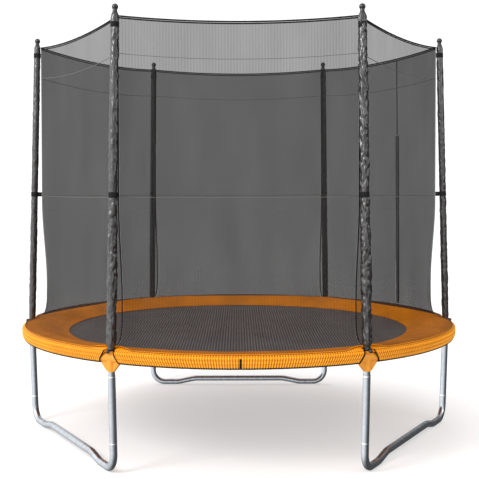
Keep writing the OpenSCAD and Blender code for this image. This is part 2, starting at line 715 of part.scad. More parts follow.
// A rod of the given radius and number of sides along the points of a line, which may be a loop
module sweep(line, r, n, closed = false) {
    count = len(line);
    last = count - 1;
    rings = [for (i = [0:last]) let (
        ahead = closed ? line[(i + 1) % count] : line[min(i + 1, last)],
        behind = closed ? line[(i + last) % count] : line[max(i - 1, 0)],
        t = ahead - behind,
        x = [-t.y, t.x, 0] / norm([t.x, t.y]),
        z = cross(x, t) / norm(t)
    ) for (j = [0:n - 1]) line[i] + r * (cos(j * 360 / n) * x + sin(j * 360 / n) * z)];
    faces = [
        for (i = [0:closed ? last : last - 1], j = [0:n - 1]) let (
            a = i * n + j,
            b = i * n + (j + 1) % n,
            over = ((i + 1) % count) * n,
            c = over + j,
            d = over + (j + 1) % n
        ) each [[a, c, d], [a, d, b]],
        if (!closed) for (j = [1:n - 2]) each [
            [0, j, j + 1], [last * n, last * n + j + 1, last * n + j]
        ]
    ];
    polyhedron(points = rings, faces = faces);
}

// Webbing straps tie the net's corner to the poles at the middle and at the top
module net_straps() {
    color(black) for (k = [1:corners], z = [strap_z, top_strap_z]) {
        share = (z - sleeve_foot_z) / (sleeve_top_z - sleeve_foot_z);
        r = sleeve_r(k, share) + soft_gap;
        reach = corner_gap(z) - binding_t / 2 - 2 * soft_gap;
        along_pole(k) translate([0, 0, up_pole(z) - strap_h / 2]) {
            tube(2 * r + 3, 1.5, 0, strap_h);
            translate([-reach, -1, 0]) cube([reach - r - 0.5, 2, strap_h]);
        }
    }
}

// ---- Zip ----
// Two tapes with their rows of teeth, and a stop at each end of the teeth
module zip_tape() {
    color(zip_grey) in_zip() {
        for (side = [0, 1]) mirror([0, side, 0]) {
            translate([tape_x, teeth_split / 2, 0])
                cube([tape_t, (zip_w - teeth_split) / 2, zip_l]);
            translate([tape_x + (tape_t - teeth_t) / 2, teeth_split / 2, 0])
                cube([teeth_t, teeth_w, zip_l]);
            for (z = [0, zip_l - stop_h]) translate([tape_x - 2, teeth_split / 2, z])
                cube([tape_t + 4, slider_w / 2 - teeth_split / 2, stop_h]);
        }
    }
}

// The slider's two plates run on both sides of the tapes, joined by a web between the teeth,
// with a pull on the inner and on the outer side
module zip_slider() {
    mid = tape_x + tape_t / 2;
    inner = teeth_t / 2 + slider_gap + slider_skin;
    pull = [2, 11, 42];
    color(zip_grey) in_zip() translate([mid, 0, stop_h + slider_gap]) {
        difference() {
            translate([-inner, -slider_w / 2, 0]) cube([2 * inner, slider_w, slider_h]);
            for (side = [0, 1]) mirror([0, side, 0]) translate([0, teeth_split / 2 - slider_gap, -1]) {
                translate([-teeth_t / 2 - slider_gap, 0, 0])
                    cube([teeth_t + 2 * slider_gap, teeth_w + 2 * slider_gap, slider_h + 2]);
                translate([-tape_t / 2 - slider_gap, 0, 0])
                    cube([tape_t + 2 * slider_gap, slider_w, slider_h + 2]);
            }
        }
        for (side = [0, 1]) mirror([side, 0, 0]) translate([inner - 0.5, 0, 0]) {
            translate([0, -2, slider_h - 9]) cube([3.5, 4, 6]);
            translate([2, -pull.y / 2, slider_h - 4 - pull.z]) cube(pull);
        }
    }
}

for (k = [1:corners]) {
    rail(k);
    connector(k);
    leg_post(k);
    pole_lower(k);
    pole_upper(k);
    pole_sleeve(k);
    net_panel(k);
}
for (b = [1:bases]) leg_base(b);
safety_pad();
pad_straps();
jump_mat();
mat_webbing();
mat_rings();
springs();
pole_caps();
pole_foams();
sleeve_ties();
net_straps();
net_bindings();
net_top_rope();
net_hem_cord();
zip_tape();
zip_slider();
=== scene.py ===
"""The looks of a round garden trampoline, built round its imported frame.

Lengths are millimetres until a mesh is made, and angles are degrees.
"""
import math

import bmesh
import bpy
from mathutils import Matrix, Vector, noise


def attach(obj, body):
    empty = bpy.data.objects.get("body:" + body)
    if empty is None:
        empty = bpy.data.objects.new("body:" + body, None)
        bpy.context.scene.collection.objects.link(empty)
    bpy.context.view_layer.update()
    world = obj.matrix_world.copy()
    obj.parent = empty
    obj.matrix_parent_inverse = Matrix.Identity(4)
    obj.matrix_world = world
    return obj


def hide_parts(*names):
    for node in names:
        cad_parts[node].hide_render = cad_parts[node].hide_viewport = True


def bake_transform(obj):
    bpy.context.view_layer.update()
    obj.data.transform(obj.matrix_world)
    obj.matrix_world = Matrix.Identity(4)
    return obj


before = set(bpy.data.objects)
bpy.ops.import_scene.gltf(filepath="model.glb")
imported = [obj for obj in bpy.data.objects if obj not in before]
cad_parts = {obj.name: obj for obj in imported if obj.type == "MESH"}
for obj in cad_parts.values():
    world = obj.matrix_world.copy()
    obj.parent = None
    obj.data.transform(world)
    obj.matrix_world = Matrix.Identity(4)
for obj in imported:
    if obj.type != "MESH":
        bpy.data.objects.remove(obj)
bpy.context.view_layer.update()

# ---------------------------------------------------------------- sizes, as in the part's source
SECTOR, HALF = 60.0, 30.0
CORNERS = range(1, 7)
RING_R, RAIL_Z, POLE_LEAN = 1195.0, 552.0, 1.15
SLEEVE_FOOT, SLEEVE_TOP = 582.3, 2152.0
SLEEVE_IN, TIE_R = 16.3, 17.4
SLEEVE_END = 2159.3  # the cloth reaches up to the cap
STRAP_Z, TOP_STRAP_Z, STRAP_H = 1310.0, 2110.0, 26.0
MAT_R, MAT_TOP, MAT_T = 1000.0, 545.0, 3.0
SPRINGS = 48
SPRING_STEP = 360 / SPRINGS
NET_TOP, NET_SAG, WAIST, SIDE_WAIST = 2150.0, 28.0, 760.0, 660.0
STRAP_GAP, TOP_GAP, WAIST_GAP = 44, 22.3, 82  # from a pole to the net's corner
PAD_TOP = [(963, 550.4), (1000, 555.4), (1051.7, 575.1), (1092.7, 588.6), (1133.6, 596.2), (1164.3, 595.8),
           (1189, 592.2), (1207, 585.8), (1220, 577.2)]
PAD_UNDER = [(963, 545.4), (1010, 545.8), (1045.7, 559.9), (1164.9, 576.2), (1218.5, 576.2)]
PAD_IN, PAD_FLAT = 963, 1010  # the pad's inner edge, and where its overlap ends
PAD_R, NOTCH_R = 1220.0, 24.4


def sin(a):
    return math.sin(math.radians(a))


def cos(a):
    return math.cos(math.radians(a))


def tan(a):
    return math.tan(math.radians(a))


def mix(a, b, t):
    return a + (b - a) * t


def smooth(t):
    t = min(max(t, 0.0), 1.0)
    return t * t * (3 - 2 * t)


def lookup(x, table):
    if x <= table[0][0]:
        return table[0][1]
    for (x0, y0), (x1, y1) in zip(table, table[1:]):
        if x <= x1:
            return y0 + (y1 - y0) * (x - x0) / (x1 - x0)
    return table[-1][1]


def turn(p, angle):
    c, s = cos(angle), sin(angle)
    return (p[0] * c - p[1] * s, p[0] * s + p[1] * c, p[2])


def hills(x, y, z, scale):
    """Smooth noise from -1 to 1."""
    return noise.noise(Vector((x, y, z)) / scale)


def pole_r(z):
    return RING_R - (z - RAIL_Z) * tan(POLE_LEAN)


def corner_gap(z):
    if z > STRAP_Z:
        return mix(STRAP_GAP, TOP_GAP, (z - STRAP_Z) / (NET_TOP - STRAP_Z))
    return mix(STRAP_GAP, WAIST_GAP, smooth((STRAP_Z - z) / (STRAP_Z - WAIST)))


def corner_r(z):
    return pole_r(z) - corner_gap(z)


EDGE_GAP = 4.4
BELLY = 37  # how far a panel's middle stands out at the waist
MID_TOP = corner_r(NET_TOP) * cos(HALF)
MID_WAIST = corner_r(WAIST) * cos(HALF) + BELLY


# A panel is worked out round 0 degrees: s runs from -1 to 1 across it
def hung(s, z):
    r = corner_r(z)
    mid = mix(MID_WAIST, MID_TOP, (z - SIDE_WAIST) / (NET_TOP - SIDE_WAIST))
    return (mix(mid, r * cos(HALF), abs(s) ** 4), s * (r * sin(HALF) - EDGE_GAP), z)


def waist_at(s):
    return mix(SIDE_WAIST, WAIST, s * s)


def top_at(s):
    return NET_TOP - NET_SAG * (1 - s * s)


FOOT_IN, FOOT_OUT = RING_R - NOTCH_R - 5, RING_R + 8
FOOT_HALF = FOOT_IN * sin(HALF) - EDGE_GAP
FOOT_LIFT, CORD_LIFT, LYING_LIFT = 7.8, 3.3, 3.2  # above the pad's top
FLARE = 0.16  # share of a panel's rows below its waist


def foot_r(s):
    return mix(FOOT_IN, FOOT_OUT, smooth(((1 - abs(s)) * FOOT_HALF - 18) / 75))


def foot_at(s, up=FOOT_LIFT):
    r = foot_r(s)
    u = s * FOOT_HALF
    return (math.sqrt(r * r - u * u), u, lookup(r, PAD_TOP) + up)


def flared(s, a):
    """The flare from the foot at 0 degrees to the waist at 90, a superellipse that lies on the pad."""
    w, f = hung(s, waist_at(s)), foot_at(s)
    k = sin(a) ** (2 / 3) if a > 0 else 0
    q = cos(a) ** (2 / 3) if a < 90 else 0
    x, y, z = mix(f[0], w[0], k), mix(f[1], w[1], k), mix(w[2], f[2], q)
    return (x, y, max(z, lookup(math.hypot(x, y), PAD_TOP) + LYING_LIFT))


def on_panel(s, share):
    """A point of the unfolded panel, share 0 at its foot and 1 at its rope."""
    if share < FLARE:
        return flared(s, 90 * (share / FLARE) ** 1.35)
    return hung(s, mix(waist_at(s), top_at(s), (share - FLARE) / (1 - FLARE)))


NET_SHARES = [j / 30 * FLARE if j < 30 else FLARE + (1 - FLARE) * (j - 30) / 60 for j in range(91)]


# ---------------------------------------------------------------- meshes
def piece(name, verts, faces, material, body="frame", shade=True, replaces=(), scale=0.001):
    mesh = bpy.data.meshes.new(name)
    mesh.from_pydata([tuple(c * scale for c in v) for v in verts], [], faces)
    mesh.validate()
    if shade:
        mesh.polygons.foreach_set("use_smooth", [True] * len(mesh.polygons))
    mesh.materials.append(material)
    o = bpy.data.objects.new(name, mesh)
    bpy.context.scene.collection.objects.link(o)
    if body:
        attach(o, body)
    if replaces:
        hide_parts(*replaces)
    return o


def circle(r, z, sides):
    return [(r * cos(360 * j / sides), r * sin(360 * j / sides), z) for j in range(sides)]


class Build:
    """Collects verts and faces of one piece."""

    def __init__(self):
        self.v, self.f = [], []

    def add(self, verts, faces):
        n = len(self.v)
        self.v += [tuple(p) for p in verts]
        self.f += [tuple(i + n for i in q) for q in faces]

    def grid(self, rows, wrap_u=False, wrap_v=False, flip=False):
        """rows[i][j] are points; wrap_u closes the rows' list, wrap_v closes each row."""
        m, n = len(rows), len(rows[0])
        faces = []
        for i in range(m if wrap_u else m - 1):
            for j in range(n if wrap_v else n - 1):
                a, b = i * n + j, i * n + (j + 1) % n
                c, d = ((i + 1) % m) * n + (j + 1) % n, ((i + 1) % m) * n + j
                faces.append((a, d, c, b) if flip else (a, b, c, d))
        self.add([p for row in rows for p in row], faces)

    def tube(self, line, r, sides=8, closed=False, up=(0, 0, 1)):
        pts = [Vector(p) for p in line]
        n = len(pts)
        rings = []
        for i in range(n):
            if closed:
                t = pts[(i + 1) % n] - pts[i - 1]
            else:
                t = pts[min(i + 1, n - 1)] - pts[max(i - 1, 0)]
            t.normalize()
            x = Vector(up).cross(t)
            if x.length < 1e-6:
                x = Vector((1, 0, 0)).cross(t)
            x.normalize()
            y = t.cross(x)
            rings.append([pts[i] + r * (cos(360 * j / sides) * x + sin(360 * j / sides) * y) for j in range(sides)])
        base = len(self.v)
        self.grid(rings, wrap_u=closed, wrap_v=True)
        if not closed:
            self.f.append(tuple(base + j for j in reversed(range(sides))))
            self.f.append(tuple(base + (n - 1) * sides + j for j in range(sides)))

    def ball(self, r, sides, rings):
        self.grid([circle(r * cos(a), r * sin(a), sides) for a in (-90 + 180 * i / rings for i in range(rings + 1))],
                  wrap_v=True)

    def box(self, low, high, place=lambda p: p):
        xs, ys, zs = zip(low, high)
        self.add([place((x, y, z)) for z in zs for y in ys for x in xs],
                 [(0, 2, 3, 1), (4, 5, 7, 6), (0, 1, 5, 4), (2, 6, 7, 3), (0, 4, 6, 2), (1, 3, 7, 5)])

    def move(self, start, fn):
        for i in range(start, len(self.v)):
            self.v[i] = tuple(fn(self.v[i]))


def on_pole(k, p):
    """A point of pole k's own frame, whose Z axis is the pole's."""
    m = (Matrix.Rotation(math.radians((k - 1) * SECTOR), 4, "Z") @ Matrix.Translation((RING_R, 0, RAIL_Z))
         @ Matrix.Rotation(math.radians(-POLE_LEAN), 4, "Y"))
    return tuple(m @ Vector(p))


def up_pole(z):
    return (z - RAIL_Z) / cos(POLE_LEAN)


# ---------------------------------------------------------------- materials
def new_material(name):
    m = bpy.data.materials.new(name)
    m.use_nodes = True
    t = m.node_tree
    for n in list(t.nodes):
        t.nodes.remove(n)
    out = t.nodes.new("ShaderNodeOutputMaterial")
    b = t.nodes.new("ShaderNodeBsdfPrincipled")
    t.links.new(b.outputs["BSDF"], out.inputs["Surface"])
    return m, t, b


def node(t, kind, **values):
    n = t.nodes.new(kind)
    for key, value in values.items():
        if key in n.inputs:
            n.inputs[key].default_value = value
        else:
            setattr(n, key, value)
    return n


def ramp(t, source, stops):
    r = t.nodes.new("ShaderNodeValToRGB")
    e = r.color_ramp.elements
    while len(e) < len(stops):
        e.new(0.5)
    for el, (pos, col) in zip(e, stops):
        el.position = pos
        el.color = (*col, 1)
    t.links.new(source, r.inputs["Fac"])
    return r.outputs["Color"]


def math_node(t, op, a, b=None, clamp=False):
    n = t.nodes.new("ShaderNodeMath")
    n.operation = op
    n.use_clamp = clamp
    for i, x in enumerate((a, b)):
        if x is None:
            continue
        if isinstance(x, (int, float)):
            n.inputs[i].default_value = x
        else:
            t.links.new(x, n.inputs[i])
    return n.outputs[0]


def bump(t, b, height, strength, distance):
    n = t.nodes.new("ShaderNodeBump")
    n.inputs["Strength"].default_value = strength
    n.inputs["Distance"].default_value = distance
    t.links.new(height, n.inputs["Height"])
    t.links.new(n.outputs["Normal"], b.inputs["Normal"])


def coords(t, scale=(1, 1, 1)):
    c = t.nodes.new("ShaderNodeTexCoord")
    m = t.nodes.new("ShaderNodeMapping")
    m.inputs["Scale"].default_value = scale
    t.links.new(c.outputs["Object"], m.inputs["Vector"])
    return m.outputs["Vector"]


def noise_tex(t, vec, scale, detail=4.0, rough=0.5):
    n = node(t, "ShaderNodeTexNoise", Scale=scale, Detail=detail, Roughness=rough)
    t.links.new(vec, n.inputs["Vector"])
    return n.outputs["Fac"]


def map_range(t, source, low, high, at_low, at_high):
    n = node(t, "ShaderNodeMapRange", interpolation_type="SMOOTHSTEP")
    for key, value in (("From Min", low), ("From Max", high), ("To Min", at_low), ("To Max", at_high)):
        n.inputs[key].default_value = value
    t.links.new(source, n.inputs["Value"])
    return n.outputs["Result"]


def weighted(t, *pairs):
    """Sum of sources, each times its weight."""
    total = None
    for source, weight in pairs:
        term = math_node(t, "MULTIPLY", source, weight)
        total = term if total is None else math_node(t, "ADD", total, term)
    return total


def wave_tex(t, vec, axis, scale, distortion):
    n = node(t, "ShaderNodeTexWave", Scale=scale, Distortion=distortion)
    n.bands_direction = axis
    t.links.new(vec, n.inputs["Vector"])
    return n.outputs["Fac"]


def uneven_rough(t, b, source, low, spread):
    t.links.new(math_node(t, "ADD", low, math_node(t, "MULTIPLY", source, spread)), b.inputs["Roughness"])


def shades(colour, down, up):
    """A darker and a lighter tone of a colour."""
    return tuple(c * (1 - down) for c in colour), tuple(min(1, c * (1 + up)) for c in colour)


def steel(name, light=(0.53, 0.565, 0.61), dark=(0.38, 0.405, 0.44), rough=0.2, rings=()):
    """Spangled zinc; rings are heights in metres that get a painted highlight, a thin white band in the base colour,
    for the glint of a tube's cut edge at a joint.
    """
    m, t, b = new_material(name)
    v = coords(t)
    cells = node(t, "ShaderNodeTexVoronoi", Scale=70.0)
    t.links.new(v, cells.inputs["Vector"])
    streak = noise_tex(t, coords(t, (1, 1, 0.08)), 45, 5)
    blend = weighted(t, (streak, 0.85), (cells.outputs["Distance"], 0.12))
    stops = [(0.25, dark), (0.65, light)]
    # painted highlight: the ramp ends in white, and the blend is pushed there in a thin band at each ring height
    if rings:
        stops += [(0.85, light), (1.0, (1, 1, 1))]
        split = t.nodes.new("ShaderNodeSeparateXYZ")
        t.links.new(v, split.inputs[0])
    for height in rings:
        glint_distance = math_node(t, "ABSOLUTE", math_node(t, "SUBTRACT", split.outputs["Z"], height))
        blend = math_node(t, "ADD", blend, map_range(t, glint_distance, 0.0015, 0.004, 1.0, 0.0))
    t.links.new(ramp(t, blend, stops), b.inputs["Base Color"])
    b.inputs["Metallic"].default_value = 1.0
    uneven_rough(t, b, streak, rough - 0.05, 0.14)
    bump(t, b, noise_tex(t, v, 300, 3), 0.06, 0.0003)
    return m


def plastic(name, colour, rough=0.38, grain=900.0, coat=0.0, vary=0.12, gloss=0.4):
    m, t, b = new_material(name)
    v = coords(t)
    wide = noise_tex(t, v, 14, 4)
    dark, light = shades(colour, vary, vary * 0.5)
    t.links.new(ramp(t, wide, [(0.3, dark), (0.7, light)]), b.inputs["Base Color"])
    uneven_rough(t, b, wide, rough - 0.06, 0.14)
    b.inputs["Coat Weight"].default_value = coat
    b.inputs["Specular IOR Level"].default_value = gloss
    bump(t, b, noise_tex(t, v, grain, 2), 0.15, 0.0003)
    return m


def cloth(name, colour, rough=0.7, weave=1400.0, vary=0.25, fold=60.0, sheen=0.15, depth=0.0004, gloss=0.5):
    """Woven cloth: two crossing bands of thread, uneven colour and slight creases."""
    m, t, b = new_material(name)
    v = coords(t)
    bands = [wave_tex(t, v, axis, weave / 20, 0.6) for axis in ("X", "Z")]
    thread = math_node(t, "MULTIPLY", bands[0], bands[1])
    wide = noise_tex(t, v, fold / 5, 5)
    dark, light = shades(colour, vary, vary)
    shade = weighted(t, (wide, 0.8), (thread, 0.2))
    t.links.new(ramp(t, shade, [(0.25, dark), (0.75, light)]), b.inputs["Base Color"])
    uneven_rough(t, b, wide, rough - 0.08, 0.16)
    b.inputs["Sheen Weight"].default_value = sheen
    b.inputs["Specular IOR Level"].default_value = gloss
    bump(t, b, weighted(t, (noise_tex(t, v, fold, 4), 1.6), (thread, 1.0)), 0.35, depth)
    return m


def mat_weave(name):
    """Coated weave with a fine stripe along Y."""
    m, t, b = new_material(name)
    v = coords(t)
    rib = wave_tex(t, v, "X", 21.7, 0.1)
    pick = wave_tex(t, v, "Y", 90.0, 0.5)
    wide = noise_tex(t, v, 6, 5)
    shade = weighted(t, (rib, 0.6), (wide, 0.4))
    t.links.new(ramp(t, shade, [(0.2, (0.07, 0.056, 0.053)), (0.8, (0.23, 0.195, 0.185))]), b.inputs["Base Color"])
    uneven_rough(t, b, wide, 0.55, 0.15)
    b.inputs["Specular IOR Level"].default_value = 0.08
    bump(t, b, weighted(t, (rib, 1.0), (pick, 0.4)), 0.4, 0.0006)
    return m


def gathered_cloth(name):
    """Pad cloth drawn into fine gathers, with painted shade: the mesh's fold value darkens its valleys and shirring
    rows and lightens their crests.
    """
    m, t, b = new_material(name)
    fold = t.nodes.new("ShaderNodeAttribute")
    fold.attribute_name = "fold"
    v = coords(t)
    wide = noise_tex(t, v, 9, 5)
    fine = noise_tex(t, v, 160, 3)
    # painted shade and highlight: a low fold value (valley, shirring row) takes the dark stop, a high one (crest) the
    # light stop
    shade = weighted(t, (fold.outputs["Fac"], 0.75), (wide, 0.2), (fine, 0.1))
    stops = [(0.12, (0.30, 0.085, 0.001)), (0.5, (0.70, 0.24, 0.006)), (0.95, (0.85, 0.40, 0.05))]
    t.links.new(ramp(t, shade, stops), b.inputs["Base Color"])
    uneven_rough(t, b, wide, 0.4, 0.14)
    b.inputs["Specular IOR Level"].default_value = 0.12
    bump(t, b, fine, 0.2, 0.0004)
    return m


def net_cloth(name, cover):
    """Knitted net: vertical chains of thread with fine holes between them, alike all over.

    Its holes are too fine to model, so cover is the share of the area that is thread.
    """
    m, t, b = new_material(name)
    uv = t.nodes.new("ShaderNodeUVMap")
    uv.uv_map = "net"
    chain = wave_tex(t, uv.outputs["UV"], "X", 21.7, 0.2)
    wide = noise_tex(t, coords(t, (1, 1, 0.25)), 7, 5)
    vary = weighted(t, (math_node(t, "SUBTRACT", chain, 0.5), 0.07), (math_node(t, "SUBTRACT", wide, 0.5), 0.16))
    level = math_node(t, "MULTIPLY", math_node(t, "ADD", 1.0, vary), cover, True)
    t.links.new(level, b.inputs["Alpha"])
    t.links.new(ramp(t, chain, [(0.2, (0.012, 0.0115, 0.0115)), (0.9, (0.02, 0.019, 0.0185))]), b.inputs["Base Color"])
    b.inputs["Roughness"].default_value = 0.85
    b.inputs["Specular IOR Level"].default_value = 0.05
    bump(t, b, chain, 0.2, 0.0004)
    return m


STEEL = steel("galvanised_steel")
# the legs' steel has a painted highlight, a thin white band, at each joint height
GLINT_LEG_STEEL = steel("leg_steel_painted_glints", rings=(0.1465, 0.461))
ZINC = steel("zinc_wire", (0.72, 0.72, 0.72), (0.55, 0.55, 0.55), 0.3)
CONNECTOR = plastic("orange_moulding", (0.66, 0.25, 0.02), 0.4, 700, gloss=0.3)
CAP = plastic("black_gloss", (0.008, 0.008, 0.009), 0.16, 500, 0.2, gloss=0.5)
PAD = cloth("pad_cover", (0.78, 0.23, 0.001), 0.6, 900, 0.22, 26, 0.0, 0.0008, 0.0)
SKIRT = gathered_cloth("skirt_cloth_fold_shade")
MAT_CLOTH = mat_weave("mat_weave")
SLEEVE = cloth("sleeve_cloth", (0.011, 0.009, 0.009), 0.27, 1500, 0.3, 90, 0.0, 0.0005, 1.0)
WEB = cloth("black_webbing", (0.009, 0.0085, 0.0085), 0.7, 2600, 0.25, 200, 0.0, 0.0003, 0.12)
FOAM = plastic("black_foam", (0.03, 0.03, 0.03), 0.9, 1500, 0.0, 0.2)
ZIP_TAPE = cloth("zip_tape", (0.03, 0.031, 0.036), 0.6, 2600, 0.2, 150, 0.1, 0.0002)
ZIP_TEETH = plastic("zip_teeth", (0.22, 0.24, 0.31), 0.4, 900)
ZIP_METAL = steel("zip_slider_metal", (0.3, 0.34, 0.31), (0.16, 0.19, 0.17), 0.35)
SEAM = cloth("seam_thread", (0.085, 0.08, 0.078), 0.7, 2600, 0.15, 200, 0.1, 0.0002)
NET = net_cloth("net_knit", 0.71)
HEM_CORD = cloth("hem_elastic", (0.30, 0.10, 0.004), 0.7, 2600, 0.25, 200, 0.0, 0.0003, 0.1)
BALL = plastic("tie_ball", (0.02, 0.02, 0.022), 0.25, 500, 0.2)

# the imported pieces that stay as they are
KEPT = (("leg", GLINT_LEG_STEEL), ("rail", STEEL), ("pole_lower", STEEL), ("pole_upper", STEEL), ("connector", CONNECTOR),
        ("pole_caps", CAP), ("mat_rings", ZINC), ("zip_slider", ZIP_METAL))
for name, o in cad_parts.items():
    for start, material in KEPT:
        if name.startswith(start):
            o.data.materials.clear()
            o.data.materials.append(material)

# ---------------------------------------------------------------- camera, floor, light
PHOTO_W = 479  # pixels, and the photograph is square
FOCAL_PX, HORIZON_PX, SENSOR = 926.38, 190.35, 36
cam = bpy.data.cameras.new("camera")
cam.sensor_width = SENSOR
cam.sensor_fit = "HORIZONTAL"
cam.lens = FOCAL_PX * SENSOR / PHOTO_W
cam.shift_y = -(PHOTO_W / 2 - HORIZON_PX) / PHOTO_W
cam.clip_start, cam.clip_end = 0.1, 200
cam_o = bpy.data.objects.new("camera", cam)
bpy.context.scene.collection.objects.link(cam_o)
cam_o.location = (-0.0053, -5.358, 1.3307)
look = (Matrix.Rotation(math.radians(-0.105), 4, "Z") @ Matrix.Rotation(math.radians(90), 4, "X")
        @ Matrix.Rotation(math.radians(-0.086), 4, "Z"))
cam_o.matrix_world = Matrix.Translation(cam_o.location) @ look
bpy.context.scene.camera = cam_o

FLOOR_R, FLOOR_GLOW = 60000.0, 0.4  # the glow keeps the bed's shadow soft
floor_m, ft, fb = new_material("floor_pale")
ft.links.new(ramp(ft, noise_tex(ft, coords(ft), 0.6, 3), [(0.3, (0.6, 0.6, 0.6)), (0.7, (0.63, 0.63, 0.63))]),
             fb.inputs["Base Color"])
fb.inputs["Roughness"].default_value = 0.9
fb.inputs["Specular IOR Level"].default_value = 0.0
fb.inputs["Emission Color"].default_value = (1, 1, 1, 1)
fb.inputs["Emission Strength"].default_value = FLOOR_GLOW
floor = piece("floor", circle(FLOOR_R, -0.5, 72), [tuple(range(72))], floor_m, None, False)
floor.visible_glossy = False  # the steel would vanish in its white

# A white studio: the backdrop is even, and the room that lights and is mirrored goes from bright left to dark right
BACKDROP, ROOM_DARK, ROOM_BRIGHT = 1.15, 0.12, 1.75
world = bpy.data.worlds.new("studio")
bpy.context.scene.world = world
bpy.context.scene.view_settings.view_transform = "Standard"
world.use_nodes = True
wt = world.node_tree
way = wt.nodes.new("ShaderNodeTexCoord")
lit = wt.nodes.new("ShaderNodeVectorMath")
lit.operation = "DOT_PRODUCT"
lit.inputs[1].default_value = (-0.78, -0.28, 0.56)
wt.links.new(way.outputs["Generated"], lit.inputs[0])
room = map_range(wt, lit.outputs["Value"], -0.75, 1.0, ROOM_DARK, ROOM_BRIGHT)
seen = wt.nodes.new("ShaderNodeLightPath").outputs["Is Camera Ray"]
strength = math_node(wt, "MAXIMUM", math_node(wt, "MULTIPLY", seen, BACKDROP), room)
wt.nodes["Background"].inputs["Color"].default_value = (1, 1, 1, 1)
wt.links.new(strength, wt.nodes["Background"].inputs["Strength"])


def area_light(name, at, aim, size, power):
    light = bpy.data.lights.new(name, "AREA")
    light.shape = "SQUARE"
    light.size = size
    light.energy = power
    o = bpy.data.objects.new(name, light)
    bpy.context.scene.collection.objects.link(o)
    o.location = at
    o.rotation_euler = (Vector(aim) - Vector(at)).to_track_quat("-Z", "Y").to_euler()


area_light("key", (-4.5, -4.5, 4.5), (0, 0, 0.9), 2.2, 260)
area_light("fill", (4.5, -3.0, 3.0), (0, 0, 0.9), 3.0, 60)

# ---------------------------------------------------------------- pole sleeves
WAVES = [(0.0, 0.0), (0.01, 0.0), (0.02, 1.6), (0.07, 1.2), (0.20, 2.1), (0.33, 1.4), (0.44, 0.9),
         (0.4553, 0.6), (0.4716, 0.6), (0.48, 0.9), (0.65, 1.5), (0.84, 0.9), (0.95, 0.6), (0.99, 0.3), (1.0, 0.0)]
FULL = [1, 1, 1, 1, 2.6, 3]  # how wide each pole's sleeve is sewn
LOOSE = [0.4, 0.35, 0.35, 0.4, 1.0, 1.2]  # how crumpled it is
LOOSE_ABOVE = [0.8, 0.8, 0.8, 0.8, 0.45, 0.8]  # share of that above the middle strap
CRUMPLE, WRINKLE = 11.0, 5.0
STRAP_SHARE = 0.4635  # the middle strap's place on the sleeve


def sleeve_r(k, share):
    return TIE_R + FULL[k - 1] * lookup(share, WAVES)


def make_sleeve(k):
    b = Build()
    rows, sides = 300, 40
    grid = []
    for i in range(rows + 1):
        share = i / rows
        z = mix(SLEEVE_FOOT, SLEEVE_END, share)
        base = sleeve_r(k, share)
        end = min(smooth(share / 0.03), smooth((1 - share) / 0.012), smooth(abs(share - STRAP_SHARE) / 0.02))
        above = LOOSE_ABOVE[k - 1] if z >= STRAP_Z else 1.0
        foot = smooth((0.035 - share) / 0.035)
        row = []
        for j in range(sides):
            a = 360 * j / sides
            ax, ay = cos(a), sin(a)
            # pillows between sharp creases, a slow twist and the gathers of the tied foot
            twist = z / 190 + 0.5 * hills(ax, ay, z / 160, 1.0)
            px, py = cos(a + 60 * twist), sin(a + 60 * twist)
            puff = abs(hills(1.25 * px, 1.25 * py, z / 46 + 9 * k, 1.0)) - 0.17
            fine = abs(hills(2.4 * px, 2.4 * py, z / 19 + 5 * k, 1.0)) - 0.17
            r = base + LOOSE[k - 1] * above * end * (CRUMPLE * puff + WRINKLE * fine)
            r += foot * 0.5 * sin(a * 14 + z * 3)
            r = min(max(r, SLEEVE_IN + 0.7), base + 5.0)
            row.append(on_pole(k, (r * ax, r * ay, up_pole(z))))
        grid.append(row)
    inner = [[on_pole(k, p) for p in circle(SLEEVE_IN, up_pole(z), sides)] for z in (SLEEVE_END, SLEEVE_FOOT)]
    b.grid(grid + inner, wrap_u=True, wrap_v=True, flip=True)
    o = piece(f"sleeve_{k}", b.v, b.f, SLEEVE, replaces=[f"pole_sleeve_{k}"])


for k in CORNERS:
    make_sleeve(k)

FOAM_PROFILE = [(12.85, 604), (15.6, 604), (16.0, 606), (16.0, 2138), (15.6, 2140), (12.85, 2140)]
b = Build()
for k in CORNERS:
    b.grid([[on_pole(k, p) for p in circle(r, up_pole(z), 24)] for r, z in FOAM_PROFILE],
           wrap_u=True, wrap_v=True, flip=True)
foam = piece("pole_foam", b.v, b.f, FOAM, replaces=["pole_foams"])


# ---------------------------------------------------------------- net panels
def net_point(k, s, share):
    """A point of panel k with the cloth's slight folds, before the panel is turned to its place."""
    x, y, z = on_panel(s, share)
    edge = smooth((1 - abs(s)) / 0.05) * smooth((top_at(s) - z) / 60) * smooth((z - 600) / 60)
    low = smooth((1150 - z) / 500)
    folds = low * 3.2 * sin(s * 540 * 6 + 40 * sin(s * 900 + k * 70)) * (0.4 + 0.6 * abs(hills(s * 3, k, 0, 1)))
    wide = 5.0 * hills(s * 2.2, z / 600, k * 3.1, 1.0) + 2.0 * hills(s * 7, z / 210, k, 1.0)
    corner = smooth((abs(s) - 0.72) / 0.2) * smooth((1000 - z) / 350) * 3.0 * sin((abs(s) - 0.72) * 360 * 14)
    return (x + edge * (folds + wide + corner), y, z)


